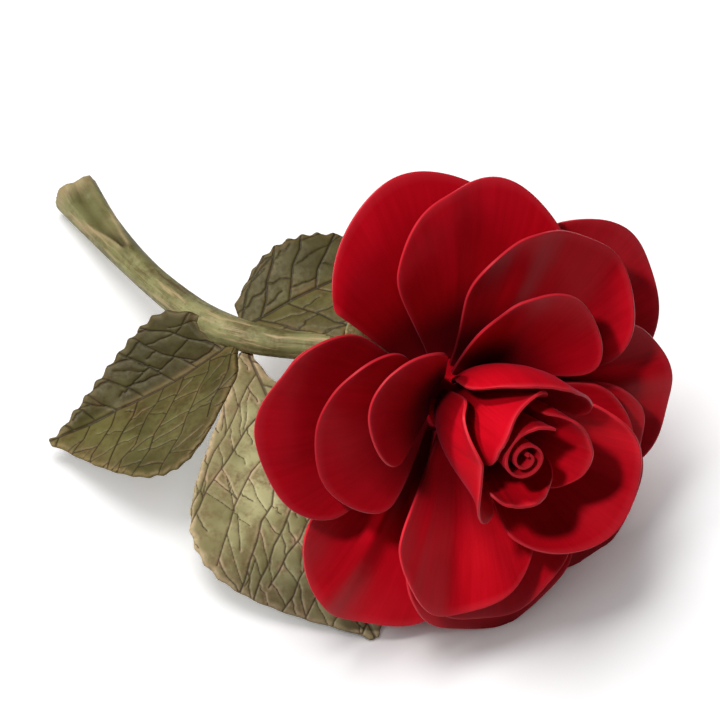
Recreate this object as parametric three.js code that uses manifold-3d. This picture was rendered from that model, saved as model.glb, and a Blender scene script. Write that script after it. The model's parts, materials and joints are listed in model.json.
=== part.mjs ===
// A porcelain rose that lies on a table: a full bloom of thin separate petals, three leaves and a cut stem.
// Millimetres, +Z up. The table is at z = 0 and the origin is under the middle of the rose.
import * as THREE from "three";
import { mergeVertices } from "three/addons/utils/BufferGeometryUtils.js";
import Module from "manifold-3d";

// Clay sheet and fit
const CLEARANCE = 0.3;
const PETAL_THICKNESS = 1.3;
const PETAL_RIM = 0.8;
const SCROLL_THICKNESS = 1;
const SEPAL_THICKNESS = 1.2;
const SEPAL_RIM = 0.8;
const LEAF_THICKNESS = 2.2;
const LEAF_RIM = 1.2;
const THIN_FROM = 0.6;

// Bloom: where its base is, how far its axis leans from upright and which way it faces
const BLOOM_BASE = new THREE.Vector3(19.9, -30.7, 40);
const BLOOM_LEAN = 56.5;
const BLOOM_HEADING = -60;

// Core and calyx, turned on the axis of the bloom
const CORE_FOOT_RADIUS = 11;
const CORE_TOP_RADIUS = 4.6;
const CORE_HEIGHT = 21;
const LIP_RADIUS = 13.6;
const LIP_HEIGHT = 1.1;
const CALYX_DEPTH = 7;
const CALYX_NECK_RADIUS = 4.4;
const CALYX_BELLY = [
  { out: 0.55, down: 0.72 },
  { out: 0.88, down: 0.38 },
];
const TURNED_SIDES = 32;

// Steel pin from the core down into the stem
const PIN_RADIUS = 1.5;
const PIN_RISE = 14;
const PIN_DEPTH = 18;
const PIN_SIDES = 20;

// Stem
const NECK_RADIUS = 3.5;
const NECK_LENGTH = 13;
const STEM_RINGS = 30;
const STEM_SIDES = 18;
const SCOOP_DEPTH = 0.55;
const SCOOP_START = 0.8;
const SCOOP_WIDTH = 42;
const SCOOP_SIDE = 90;

// The stem's way from its neck to its cut end: how far along its span, how far aside of it, how high above
// the table, and its radius there
const STEM_SPAN = 102.9;
const STEM_HEADING = 143.4;
const STEM_ROUTE = [
  { share: 0.08, aside: 1.6, height: 26.5, radius: 3.5 },
  { share: 0.18, aside: 7.2, height: 25, radius: 3.5 },
  { share: 0.28, aside: 13.5, height: 24.5, radius: 3.6 },
  { share: 0.415, aside: 17.5, height: 22.5, radius: 4.2 },
  { share: 0.52, aside: 16.9, height: 19.5, radius: 3.9 },
  { share: 0.65, aside: 13.7, height: 15, radius: 3.7 },
  { share: 0.76, aside: 10.2, height: 11.5, radius: 3.9 },
  { share: 0.87, aside: 6, height: 8.4, radius: 4.4 },
  { share: 1, aside: 0, height: 5.1, radius: 6 },
];

// How far the two open rings reach from the bloom's axis
const GUARD_REACH = 62;
const OUTER_REACH = 60;

// Rings of petals from the outside in. seat is the height on the core, turn the angle round the bloom from
// its lowest side, wrap the angle that the petal goes round, reach and rise the place of the rim, longer what
// one petal reaches past its ring, bow how much the petal bends on its way there, cup how much steeper its
// edges stand, rounding how far the rim falls away to the sides, flare how far it rolls back, claw the share
// of its width at the seat, spiral how much nearer the axis one edge is than the middle, skew the tip's shift
// sideways, keel the depth of a soft fold along the petal and fold where across it that is. grid counts the
// faces across and along it.
const RINGS = [
  {
    name: "guard",
    common: {
      reach: GUARD_REACH, seat: 2,
      wrap: 64, bow: 34, cup: 12, rounding: 0.17, flare: 1.5, claw: 0.97,
      grid: [10, 7],
    },
    petals: [
      { turn: 178, longer: 4, rise: 12, wrap: 65, rounding: 0.34, claw: 1.07 },
      { turn: 107, longer: -1.5, rise: 13, wrap: 70, rounding: 0.27, keel: 1.5, fold: -0.2 },
      { turn: 27, longer: -1, rise: 12.5, wrap: 60, rounding: 0.2 },
      { turn: -47, longer: 0, rise: 12.5, wrap: 70, keel: 2, fold: 0.2 },
      { turn: 246, longer: -10, rise: 11, wrap: 60 },
    ],
  },
  {
    name: "outer",
    common: {
      reach: OUTER_REACH, seat: 5,
      wrap: 64, bow: 36, cup: 14, rounding: 0.16, flare: 1.5, claw: 0.97,
      grid: [10, 7],
    },
    petals: [
      { turn: 160, longer: 2, rise: 19, rounding: 0.24, keel: 1 },
      { turn: 69, longer: -5, rise: 20, rounding: 0.15 },
      { turn: -12, longer: 0, rise: 18.5 },
      { turn: 247, longer: -1.5, rise: 19, wrap: 72 },
    ],
  },
  {
    name: "middle",
    common: { seat: 8, wrap: 80, bow: 34, cup: 16, rounding: 0.15, flare: 1.5, claw: 0.97, grid: [10, 7] },
    petals: [
      { turn: 130, reach: 53.5, rise: 28, wrap: 82, keel: 1.5, fold: -0.4 },
      { turn: 54, reach: 46, rise: 26, wrap: 58 },
      { turn: -13, reach: 54.5, rise: 24.5, wrap: 66 },
      { turn: 249, reach: 45.5, rise: 26, wrap: 84 },
    ],
  },
  {
    name: "inner",
    common: { seat: 11, wrap: 76, bow: 20, cup: 14, rounding: 0.18, flare: 1, claw: 0.97, grid: [10, 7] },
    petals: [
      { turn: 140, reach: 39, rise: 37, skew: -5 },
      { turn: 50, reach: 40, rise: 31 },
      { turn: -28, reach: 50, rise: 30.5, wrap: 64, rounding: 0.24, keel: 2.2 },
      { turn: 227, reach: 38, rise: 37, wrap: 72 },
    ],
  },
  {
    name: "cup",
    common: { seat: 14, wrap: 110, bow: -40, rounding: 0.17, claw: 0.9, grid: [14, 7] },
    petals: [
      { turn: 34, reach: 43, rise: 38, bow: 10, cup: 38, wrap: 96, rounding: 0.32 },
      { turn: 268, reach: 11, rise: 49, bow: -40, cup: -34, wrap: 138, spiral: 3 },
      { turn: 136, reach: 18.5, rise: 49, bow: -56, cup: -6, wrap: 116, spiral: -3 },
    ],
  },
  {
    name: "bud",
    common: { seat: 17, wrap: 106, bow: -20, rounding: 0.15, claw: 0.7, grid: [14, 7] },
    petals: [
      { turn: 203, reach: 9, rise: 52, wrap: 166, spiral: -5, cup: -12 },
      { turn: 81, reach: 17.5, rise: 48, wrap: 126, bow: -10, spiral: -5, cup: 2, rounding: 0.1, claw: 0.52 },
      { turn: -14, reach: 14, rise: 49, wrap: 118, bow: -8, spiral: 1, claw: 0.6 },
    ],
  },
];

// Outline of a petal: widest near WIDEST of its length, then drawn in so that the sides run into the rim
const WIDEST = 0.66;
const ROLL_FROM = 0.7;
const FOLD_WIDTH = 0.3;
const RIM_WAVE = 0.012;
const WAVES = 7;

// Rolled strip in the middle of the bud, whose outer end stands off it by the tail
const SCROLL = { turn: 112, turns: 2.15, outer: 6.2, inner: 1.1, foot: 0.62, top: 51, columns: 40, rows: 4 };
const SCROLL_TAIL = 4;
const SCROLL_TAIL_SHARE = 0.16;

// Sepals under the guard petals
const SEPAL_COUNT = 5;
const SEPAL_TURN = -8;
const SEPAL_SEAT = 0.9;
const SEPAL_COLUMNS = 4;
const SEPAL_ROWS = 6;
const SEPAL = { turn: 0, reach: 34, rise: 1, wrap: 44, bow: 40, rounding: 0.03, claw: 0.8 };

// Leaves: foot places the base against the stem's leaf joint, heading and slope aim the midrib, widths are
// the blade's half widths on its two sides, narrow the share of them at the base, widest where along the
// midrib they are reached, swell and taper how late the outline widens and narrows, arch how high the midrib
// bows, fold how steep the halves rise from it, and sweep how far the teeth lean towards the tip
const LEAF_JOINT = 0.48;
const LEAF_LEFT = {
  name: "leaf_left",
  foot: [0, -2.4, -0.6],
  length: 52.9,
  heading: 202.2,
  slope: -18.2,
  widths: [30.5, 17],
  narrow: [0.37, 0.5],
  widest: [0.43, 0.24],
  swell: [1, 1],
  taper: [1.05, 0.8],
  arch: -4,
  fold: 24,
  sweep: 0.2,
  teeth: 12,
};
const LEAF_TOP = {
  name: "leaf_top",
  foot: [2, 2.6, -3],
  length: 45.8,
  heading: 25.4,
  slope: 7.5,
  widths: [15, 17],
  narrow: [0.45, 0.45],
  widest: [0.36, 0.36],
  swell: [1, 1],
  taper: [1.05, 1.05],
  arch: 3,
  fold: 12,
  sweep: 0.1,
  teeth: 12,
};
const LEAF_FRONT = {
  name: "leaf_front",
  foot: [2.5, -3, -3.6],
  length: 81,
  heading: -65.7,
  slope: -13.6,
  widths: [25, 33],
  narrow: [0.06, 0.1],
  widest: [0.55, 0.5],
  swell: [2.2, 1.3],
  taper: [1.05, 1.05],
  arch: 0,
  fold: 4,
  sweep: 0.15,
  teeth: 16,
};
const LEAF_COLUMNS = 6;
const TOOTH_DEPTH = 0.6;

// How late along the blade its fold opens to a flat tip
const FLAT_TIP = 8;
const LEAF_TIP_SHARE = 0.03;

// Table that the rose lies on
const TABLE_SIZE = 400;
const TABLE_DEPTH = 40;

// Colours
const RED = new THREE.MeshStandardMaterial({ color: 0xb3121f, roughness: 0.5, metalness: 0 });
const GREEN = new THREE.MeshStandardMaterial({ color: 0x7d8058, roughness: 0.35, metalness: 0 });
const STEEL = new THREE.MeshStandardMaterial({ color: 0xb9bcc0, roughness: 0.4, metalness: 1 });

// Distance under which corners are one, the step for a surface's slope, and how far out the slope is taken
const WELD = 1e-3;
const STEP = 1e-3;
const WALL_INSET = 0.95;

const wasm = await Module();
wasm.setup();

const UP = new THREE.Vector3(0, 0, 1);
const radians = THREE.MathUtils.degToRad;
const { clamp, lerp, smoothstep } = THREE.MathUtils;

// A closed geometry as a solid that can be joined and cut
function solidOf(geometry) {
  const bare = new THREE.BufferGeometry();
  bare.setAttribute("position", geometry.getAttribute("position"));
  bare.setIndex(geometry.index);
  const merged = mergeVertices(bare, WELD);
  const vertProperties = merged.getAttribute("position").array;
  const triVerts = new Uint32Array(merged.index.array);
  return new wasm.Manifold(new wasm.Mesh({ numProp: 3, vertProperties, triVerts }));
}

// A solid as a geometry again
function geometryOf(solid) {
  const { vertProperties, triVerts } = solid.getMesh();
  const geometry = new THREE.BufferGeometry();
  geometry.setAttribute("position", new THREE.BufferAttribute(vertProperties, 3));
  geometry.setIndex(new THREE.BufferAttribute(triVerts, 1));
  geometry.computeVertexNormals();
  return geometry;
}

// A geometry made of faces that are given as loops of corners
function facetGeometry(corners, faces) {
  const geometry = new THREE.BufferGeometry();
  const triangles = faces.flatMap((face) => face.slice(2).flatMap((c, k) => [face[0], face[k + 1], c]));
  geometry.setAttribute("position", new THREE.Float32BufferAttribute(corners.flatMap((c) => c.toArray()), 3));
  geometry.setIndex(triangles);
  geometry.computeVertexNormals();
  return geometry;
}

// A closed sheet: both faces of surface(u, v), with u from -1 to 1 and v from 0 to 1, joined round the edge
function sheetGeometry(surface, thickness, columns, rows) {
  const corners = [];
  const faces = [];
  const corner = (side, i, j) => (side * (columns + 1) + i) * (rows + 1) + j;
  for (const side of [0, 1]) {
    for (let i = 0; i <= columns; i++) {
      for (let j = 0; j <= rows; j++) {
        const u = (2 * i) / columns - 1;
        const v = j / rows;
        // The direction of the wall is taken inside the rim, since a rounded corner has none of its own
        const a = clamp(u, -WALL_INSET, WALL_INSET);
        const b = clamp(v, 1 - WALL_INSET, WALL_INSET);
        const across = surface(a + STEP, b).sub(surface(a - STEP, b));
        const along = surface(a, b + STEP).sub(surface(a, b - STEP));
        const normal = across.cross(along).normalize();
        corners.push(surface(u, v).addScaledVector(normal, (side - 0.5) * thickness(u, v)));
      }
    }
  }
  const quad = (a, b, c, d) => faces.push([a, b, c, d]);
  for (let i = 0; i < columns; i++) {
    for (let j = 0; j < rows; j++) {
      const loop = [[i, j], [i + 1, j], [i + 1, j + 1], [i, j + 1]];
      // Each half is split towards its own corner of the rim
      if (2 * i < columns) loop.push(loop.shift());
      const [a, b, c, d] = loop;
      quad(corner(1, ...a), corner(1, ...b), corner(1, ...c), corner(1, ...d));
      quad(corner(0, ...a), corner(0, ...d), corner(0, ...c), corner(0, ...b));
    }
    quad(corner(0, i, 0), corner(0, i + 1, 0), corner(1, i + 1, 0), corner(1, i, 0));
    quad(corner(0, i + 1, rows), corner(0, i, rows), corner(1, i, rows), corner(1, i + 1, rows));
  }
  for (let j = 0; j < rows; j++) {
    quad(corner(0, 0, j + 1), corner(0, 0, j), corner(1, 0, j), corner(1, 0, j + 1));
    quad(corner(0, columns, j), corner(0, columns, j + 1), corner(1, columns, j + 1), corner(1, columns, j));
  }
  return facetGeometry(corners, faces);
}

// A sheet's thickness, full in the middle and thin at the rim
function thinning(body, rim) {
  return (u, v) => lerp(body, rim, smoothstep(Math.max(Math.abs(u), v), THIN_FROM, 1));
}

// A loft through rings of corners, closed by a fan at each end
function loftGeometry(rings) {
  const sides = rings[0].length;
  const corners = rings.flat();
  const faces = [];
  for (let i = 0; i + 1 < rings.length; i++) {
    for (let k = 0; k < sides; k++) {
      const next = (k + 1) % sides;
      faces.push([i * sides + k, i * sides + next, (i + 1) * sides + next, (i + 1) * sides + k]);
    }
  }
  const middle = (ring) => ring.reduce((sum, c) => sum.add(c), new THREE.Vector3()).divideScalar(sides);
  const first = corners.push(middle(rings[0])) - 1;
  const last = corners.push(middle(rings.at(-1))) - 1;
  for (let k = 0; k < sides; k++) {
    const next = (k + 1) % sides;
    faces.push([first, next, k]);
    faces.push([last, (rings.length - 1) * sides + k, (rings.length - 1) * sides + next]);
  }
  return facetGeometry(corners, faces);
}

// A profile of [radius, height] pairs turned round the z axis
function turnedGeometry(profile) {
  const points = profile.map(([radius, height]) => new THREE.Vector2(radius, height));
  return new THREE.LatheGeometry(points, TURNED_SIDES).rotateX(Math.PI / 2);
}

const coreRadius = (height) => lerp(CORE_FOOT_RADIUS, CORE_TOP_RADIUS, height / CORE_HEIGHT);

// A petal round the bloom's axis, its middle on the +X side. Each line from seat to rim is an arc. The inner
// corner of its foot just clears the given radius.
function petalSurface(petal, clearRadius, seatHeight, thickness) {
  const { turn, rise, wrap, bow, rounding, claw, longer = 0, cup = 0, flare = 0 } = petal;
  const { spiral = 0, skew = 0, keel = 0, fold = 0 } = petal;
  const reach = petal.reach + longer;
  const bend = radians(bow);
  const start = Math.atan2(reach - clearRadius, rise - seatHeight) - bend / 2;
  const seatRadius = clearRadius + (thickness / 2) * Math.max(0, Math.cos(start));
  const chord = Math.hypot(reach - seatRadius, rise - seatHeight);
  const lean = Math.atan2(reach - seatRadius, rise - seatHeight);
  const length = (chord * (bend / 2)) / Math.sin(bend / 2);
  const runIn = Math.max(0, (1 - 3 * rounding) / (2 * rounding));
  const drawIn = runIn / (runIn + 2 / (1 - WIDEST));
  return (u, v) => {
    const wave = RIM_WAVE * Math.sin(WAVES * u + turn) * v * v;
    const reached = v * (1 - rounding * u * u * v * v + wave);
    const turned = (bend - radians(cup) * u * u) * reached;
    const slope = lean - bend / 2 + turned / 2;
    const run = length * reached * (Math.abs(turned) < 1e-6 ? 1 : Math.sin(turned / 2) / (turned / 2));
    const rolled = flare * Math.max(0, (v - ROLL_FROM) / (1 - ROLL_FROM)) ** 2;
    const back = rolled + keel * v * Math.exp(-Math.abs(u - fold) / FOLD_WIDTH);
    const facing = slope + turned / 2;
    const radius = seatRadius + run * Math.sin(slope) + back * Math.cos(facing) + spiral * u * v;
    const height = seatHeight + run * Math.cos(slope) - back * Math.sin(facing);
    const grown = Math.sin((Math.PI / 2) * Math.min(1, v / WIDEST));
    const drawn = drawIn * Math.max(0, (v - WIDEST) / (1 - WIDEST)) ** 2;
    const share = lerp(claw, 1, grown) - drawn;
    const angle = (u * radians(wrap) * share) / 2 + (skew * v * v) / radius;
    return new THREE.Vector3(radius * Math.cos(angle), radius * Math.sin(angle), height);
  };
}

// One petal's solid, seated on the core
function petalGeometry(petal) {
  const surface = petalSurface(petal, coreRadius(petal.seat) + CLEARANCE, petal.seat, PETAL_THICKNESS);
  return sheetGeometry(surface, thinning(PETAL_THICKNESS, PETAL_RIM), ...petal.grid);
}

// The rolled strip: a spiral that is narrower at its foot on the core than at its rim
function scrollGeometry() {
  const { turn, turns, outer, inner, foot, top, columns, rows } = SCROLL;
  const base = CORE_HEIGHT + CLEARANCE;
  const surface = (u, v) => {
    const share = (u + 1) / 2;
    const angle = radians(turn) + share * turns * 2 * Math.PI;
    const tail = SCROLL_TAIL * Math.max(0, 1 - share / SCROLL_TAIL_SHARE) ** 2;
    const radius = (lerp(outer, inner, share) + tail) * lerp(foot, 1, v);
    return new THREE.Vector3(radius * Math.cos(angle), radius * Math.sin(angle), lerp(base, top, v));
  };
  return sheetGeometry(surface, () => SCROLL_THICKNESS, columns, rows);
}

// The pin on the bloom's axis, and with a larger radius the bore that it sits in
function pinGeometry(radius, from, to) {
  const pin = new THREE.CylinderGeometry(radius, radius, to - from, PIN_SIDES);
  return pin.rotateX(Math.PI / 2).translate(0, 0, (from + to) / 2);
}

const group = new THREE.Group();
const rose = new THREE.Group();
const bloom = new THREE.Group();
group.add(rose);
rose.add(bloom);
bloom.position.copy(BLOOM_BASE);
bloom.rotation.set(0, radians(BLOOM_LEAN), radians(BLOOM_HEADING), "ZYX");
bloom.updateMatrix();
const axis = UP.clone().applyEuler(bloom.rotation);

function place(parent, name, geometry, material) {
  const mesh = new THREE.Mesh(geometry, material);
  mesh.name = name;
  parent.add(mesh);
  return mesh;
}

// What would reach below the table is ground flat. placed says where the geometry stands in the rose.
function groundFlat(geometry, placed = new THREE.Matrix4()) {
  const below = new THREE.BoxGeometry(TABLE_SIZE, TABLE_SIZE, TABLE_DEPTH).translate(0, 0, -TABLE_DEPTH / 2);
  return geometryOf(solidOf(geometry).subtract(solidOf(below.applyMatrix4(placed.clone().invert()))));
}

// Petals
for (const ring of RINGS) {
  ring.petals.forEach((petal, k) => {
    const geometry = petalGeometry({ ...ring.common, ...petal });
    const mesh = place(bloom, `${ring.name}_petal_${k + 1}`, geometry, RED);
    mesh.rotation.z = radians(petal.turn);
    mesh.updateMatrix();
    mesh.geometry = groundFlat(geometry, bloom.matrix.clone().multiply(mesh.matrix));
  });
}
place(bloom, "bud_scroll", scrollGeometry(), RED);

// Core, calyx and pin
const pinBore = solidOf(pinGeometry(PIN_RADIUS + CLEARANCE, -PIN_DEPTH - CLEARANCE, PIN_RISE + CLEARANCE));
const coreProfile = [
  [0, 0],
  [LIP_RADIUS, 0],
  [LIP_RADIUS, LIP_HEIGHT],
  [coreRadius(LIP_HEIGHT), LIP_HEIGHT],
  [CORE_TOP_RADIUS, CORE_HEIGHT],
  [0, CORE_HEIGHT],
];
place(bloom, "petal_core", geometryOf(solidOf(turnedGeometry(coreProfile)).subtract(pinBore)), RED);

const calyxTop = -CLEARANCE;
const calyxProfile = [
  [0, calyxTop - CALYX_DEPTH],
  [CALYX_NECK_RADIUS, calyxTop - CALYX_DEPTH],
  ...CALYX_BELLY.map(({ out, down }) => [
    lerp(CALYX_NECK_RADIUS, LIP_RADIUS, out),
    calyxTop - CALYX_DEPTH * down,
  ]),
  [LIP_RADIUS, calyxTop],
  [0, calyxTop],
];
place(bloom, "calyx_cup", geometryOf(solidOf(turnedGeometry(calyxProfile)).subtract(pinBore)), GREEN);
place(bloom, "neck_pin", pinGeometry(PIN_RADIUS, -PIN_DEPTH, PIN_RISE), STEEL);

// Sepals
for (let k = 0; k < SEPAL_COUNT; k++) {
  const surface = petalSurface(SEPAL, LIP_RADIUS + CLEARANCE, -SEPAL_SEAT, SEPAL_THICKNESS);
  const sepal = sheetGeometry(surface, thinning(SEPAL_THICKNESS, SEPAL_RIM), SEPAL_COLUMNS, SEPAL_ROWS);
  const mesh = place(bloom, `sepal_${k + 1}`, sepal, GREEN);
  mesh.rotation.z = radians(SEPAL_TURN + (360 / SEPAL_COUNT) * k);
}

// Stem: straight out of the calyx along the bloom's axis, then along its route to the flared cut end
const neckStart = BLOOM_BASE.clone().addScaledVector(axis, calyxTop - CALYX_DEPTH - CLEARANCE);
const neckEnd = neckStart.clone().addScaledVector(axis, -NECK_LENGTH);
const stemAlong = new THREE.Vector3(Math.cos(radians(STEM_HEADING)), Math.sin(radians(STEM_HEADING)), 0);
const stemAside = UP.clone().cross(stemAlong);
const stemPoints = [neckStart, neckEnd];
for (const { share, aside, height } of STEM_ROUTE) {
  const point = neckEnd.clone().addScaledVector(stemAlong, share * STEM_SPAN);
  stemPoints.push(point.addScaledVector(stemAside, aside).setZ(height));
}
const stemRadii = [NECK_RADIUS, NECK_RADIUS, ...STEM_ROUTE.map(({ radius }) => radius)];
const stemCurve = new THREE.CatmullRomCurve3(stemPoints, false, "centripetal");
const radiusCurve = new THREE.CatmullRomCurve3(stemRadii.map((r) => new THREE.Vector3(r, 0, 0)));

function stemGeometry(extra, scooped) {
  const rings = [];
  for (let i = 0; i <= STEM_RINGS; i++) {
    const t = i / STEM_RINGS;
    const along = stemCurve.getTangent(t);
    const side = new THREE.Vector3().crossVectors(UP, along).normalize();
    const over = new THREE.Vector3().crossVectors(along, side);
    const radius = radiusCurve.getPoint(t).x + extra;
    const scoop = scooped * SCOOP_DEPTH * smoothstep(t, SCOOP_START, 1);
    const ring = [];
    for (let k = 0; k < STEM_SIDES; k++) {
      const turn = (360 * k) / STEM_SIDES;
      const off = Math.abs(turn - SCOOP_SIDE) / SCOOP_WIDTH;
      const r = radius * (1 - scoop * Math.max(0, 1 - off * off));
      const corner = stemCurve.getPoint(t).addScaledVector(side, r * Math.cos(radians(turn)));
      ring.push(corner.addScaledVector(over, r * Math.sin(radians(turn))));
    }
    rings.push(ring);
  }
  return loftGeometry(rings);
}
const boreInPlace = solidOf(
  pinGeometry(PIN_RADIUS + CLEARANCE, -PIN_DEPTH - CLEARANCE, PIN_RISE).applyMatrix4(bloom.matrix),
);
const stem = geometryOf(solidOf(groundFlat(stemGeometry(0, 1))).subtract(boreInPlace));
place(rose, "stem", stem, GREEN);

// Leaves: a blade folded along its midrib, with a scalloped edge, cut to fit against the stem
function leafOutline(narrow, widest, swell, taper, v) {
  if (v < widest) return lerp(narrow, 1, Math.sin((Math.PI / 2) * (v / widest)) ** swell);
  return Math.max(LEAF_TIP_SHARE, Math.cos((Math.PI / 2) * ((v - widest) / (1 - widest)) ** taper));
}

function leafGeometry(leaf) {
  const base = stemCurve.getPoint(LEAF_JOINT).add(new THREE.Vector3(...leaf.foot));
  const along = new THREE.Vector3(Math.cos(radians(leaf.slope)), 0, Math.sin(radians(leaf.slope)));
  along.applyAxisAngle(UP, radians(leaf.heading));
  const side = UP.clone().cross(along).normalize();
  const over = along.clone().cross(side);
  const surface = (u, v) => {
    const fold = radians(leaf.fold) * (1 - v ** FLAT_TIP);
    const tooth = TOOTH_DEPTH * Math.cos(2 * Math.PI * leaf.teeth * v) * Math.abs(u) ** 3;
    const k = u > 0 ? 0 : 1;
    const shape = leafOutline(leaf.narrow[k], leaf.widest[k], leaf.swell[k], leaf.taper[k], v);
    const half = leaf.widths[k] * shape;
    const out = u * half + Math.sign(u) * tooth;
    return base
      .clone()
      .addScaledVector(along, leaf.length * v + leaf.sweep * Math.abs(out) * (1 - v))
      .addScaledVector(side, out * Math.cos(fold))
      .addScaledVector(over, Math.abs(out) * Math.sin(fold) + leaf.arch * Math.sin(Math.PI * v));
  };
  return sheetGeometry(surface, thinning(LEAF_THICKNESS, LEAF_RIM), LEAF_COLUMNS, 2 * leaf.teeth);
}
const stemClear = solidOf(stemGeometry(CLEARANCE, 0));
for (const leaf of [LEAF_LEFT, LEAF_TOP, LEAF_FRONT]) {
  const pieces = solidOf(groundFlat(leafGeometry(leaf))).subtract(stemClear).decompose();
  const blade = pieces.reduce((most, piece) => (piece.volume() > most.volume() ? piece : most));
  place(rose, leaf.name, geometryOf(blade), GREEN);
}

// The origin goes under the middle of the rose
group.updateMatrixWorld(true);
const box = new THREE.Box3().setFromObject(rose, true);
rose.position.set(-(box.min.x + box.max.x) / 2, -(box.min.y + box.max.y) / 2, -box.min.z);

export default group;
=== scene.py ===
import json
import math
import random

import bpy
import numpy as np
from bpy.props import FloatProperty, FloatVectorProperty, IntProperty, PointerProperty
from mathutils import Matrix, Vector, noise
from mathutils.bvhtree import BVHTree
from mathutils.kdtree import KDTree

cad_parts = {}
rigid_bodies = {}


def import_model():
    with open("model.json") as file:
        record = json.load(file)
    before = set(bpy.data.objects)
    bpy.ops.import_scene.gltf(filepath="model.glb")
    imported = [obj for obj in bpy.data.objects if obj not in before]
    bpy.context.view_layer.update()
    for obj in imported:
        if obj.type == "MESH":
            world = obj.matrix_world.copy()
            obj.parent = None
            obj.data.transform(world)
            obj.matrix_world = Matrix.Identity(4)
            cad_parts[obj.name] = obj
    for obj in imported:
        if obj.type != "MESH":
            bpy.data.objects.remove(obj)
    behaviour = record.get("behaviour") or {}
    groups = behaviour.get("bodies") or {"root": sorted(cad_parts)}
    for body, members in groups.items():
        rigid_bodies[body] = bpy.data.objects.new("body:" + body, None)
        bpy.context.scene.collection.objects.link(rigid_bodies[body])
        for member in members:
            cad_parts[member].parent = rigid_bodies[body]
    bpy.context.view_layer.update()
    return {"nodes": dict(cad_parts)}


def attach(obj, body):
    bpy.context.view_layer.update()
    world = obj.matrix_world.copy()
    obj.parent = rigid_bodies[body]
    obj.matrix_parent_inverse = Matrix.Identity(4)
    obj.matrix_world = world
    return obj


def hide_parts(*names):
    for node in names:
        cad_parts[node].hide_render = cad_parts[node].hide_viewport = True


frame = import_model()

bl_info = {
    "name": "Porcelain rose",
    "version": (1, 0, 0),
    "blender": (4, 5, 0),
    "location": "View3D > Sidebar > Rose",
    "description": "Dresses the solids of a porcelain rose with glaze, veins and light",
    "category": "Object",
}

MM = 0.001

# How a solid's copy is cleaned: merging distance in millimetres, then the angles for quads and sharp edges
MERGE = 0.002
QUAD_ANGLE = math.radians(50)
QUAD_SKEW = math.radians(70)
SHARP_ANGLE = math.radians(50)

# Where the source's own zero lies in the frame, millimetres
SHIFT = Vector((-0.075, 18.548, 0))

# The bloom's base, lean and heading, as in the source
BLOOM_BASE = Vector((19.9, -30.7, 40)) + SHIFT
BLOOM_TURN = Matrix.Rotation(math.radians(-60), 3, "Z") @ Matrix.Rotation(math.radians(56.5), 3, "Y")
PETAL_RINGS = {"guard": 5, "outer": 4, "middle": 4, "inner": 4, "cup": 3, "bud": 3}
PETALS = [f"{ring}_petal_{k + 1}" for ring, count in PETAL_RINGS.items() for k in range(count)]
SEPALS = [f"sepal_{k + 1}" for k in range(5)]
# Seed of the waver, which would otherwise come from the clock
WAVER_SEED = 2
# Radius at which a petal's width is measured for its brush marks, millimetres
PETAL_RADIUS = 30
# Shift of the brush marks from one petal to the next, millimetres
BRUSH_SHIFT = 9.7
# The core holds a petal up to here, and over the next length it comes free, millimetres from the bloom's base
HELD = 22
HELD_FADE = 20
# Faint creases: farthest aside of the middle, greatest depth and range of half widths, millimetres
CREASE_ASIDE = 14
CREASE_DEPTH = 0.25
CREASE_HALF_WIDTH = (1.5, 4)
SCROLL_SEED = 31

# Painted shade: where the red is painted darkest at a petal's foot and where it is plain again, millimetres
# from the bloom's base
FOOT_SHADE_RUN = (24, 42)
# Painted light and shade on single petals: how much darker than the others each is painted; under 0 it is
# painted lighter
PAINTED_LIGHT_AND_SHADE_BY_PETAL = {
    "guard_petal_4": -0.15,
    "outer_petal_4": 0.2,
    "middle_petal_1": 0.15,
    "middle_petal_4": 0.22,
    "inner_petal_1": 0.12,
    "inner_petal_3": -0.1,
    "inner_petal_4": 0.12,
    "cup_petal_1": -0.15,
    "cup_petal_2": -0.08,
    "bud_petal_2": -0.06,
}

# Folds that single petals have: millimetres aside of the middle, depth and half width of each
FOLDS = {
    "guard_petal_1": [(-4, 0.6, 6)],
    "guard_petal_4": [(-4.5, 1.5, 2.4), (-11, -0.8, 5), (0.5, -0.9, 2.6)],
    "outer_petal_2": [(3, 1.1, 2.6), (-4, -0.7, 4)],
    "outer_petal_1": [(5, 0.7, 5)],
    "middle_petal_1": [(9, 0.9, 3), (-8, -0.5, 6)],
    "middle_petal_3": [(-3, 0.6, 4)],
    "inner_petal_3": [(0, -1, 5)],
    "inner_petal_1": [(7, 0.5, 4)],
}

# The stem's middle line from its neck to its cut end, as in the source, millimetres
STEM_LINE = [
    (16.7, -25.2, 35.8),
    (11.3, -15.8, 28.6),
    (3.8, -12.2, 26.5),
    (-7.9, -10.6, 25),
    (-19.9, -9.5, 24.5),
    (-33.4, -4.4, 22.5),
    (-41.7, 2.5, 19.5),
    (-50.6, 13.1, 15),
    (-57.6, 22.6, 11.5),
    (-64.1, 32.7, 8.4),
    (-71.3, 45.5, 5.1),
]

# Where along the stem's line its scooped hollow starts, millimetres
SCOOP_FROM = 98.2
# Crease of the stem's edges, grain and smoothing of its mesh, and length and width of a tool mark, in mm
STEM_CREASE = 0.3
STEM_GRAIN = 0.4
STEM_SMOOTHING = 12
MARK_LENGTH = 22
MARK_WIDTH = 1.6
# Half width of the hollow at its narrow end, and how much it widens over which length, millimetres
HOLLOW_HALF_WIDTH = 0.8
HOLLOW_WIDENING = 4.4
HOLLOW_LENGTH = 24
# Where the hollow is cut in, gets shallow, loses its brown and meets the lip, millimetres from its narrow end
HOLLOW_CUT = (0, 2.5)
HOLLOW_SHALLOW = (8, 20)
HOLLOW_BROWN = (2, 11)
HOLLOW_LIP = (21.5, 26.5)
LIP_HALF_WIDTH = 5
# The tan bank round the hollow: its place in half widths of the hollow, and its own half width in millimetres
BANK_PLACE = 1.15
BANK_HALF_WIDTH = 0.7
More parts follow.
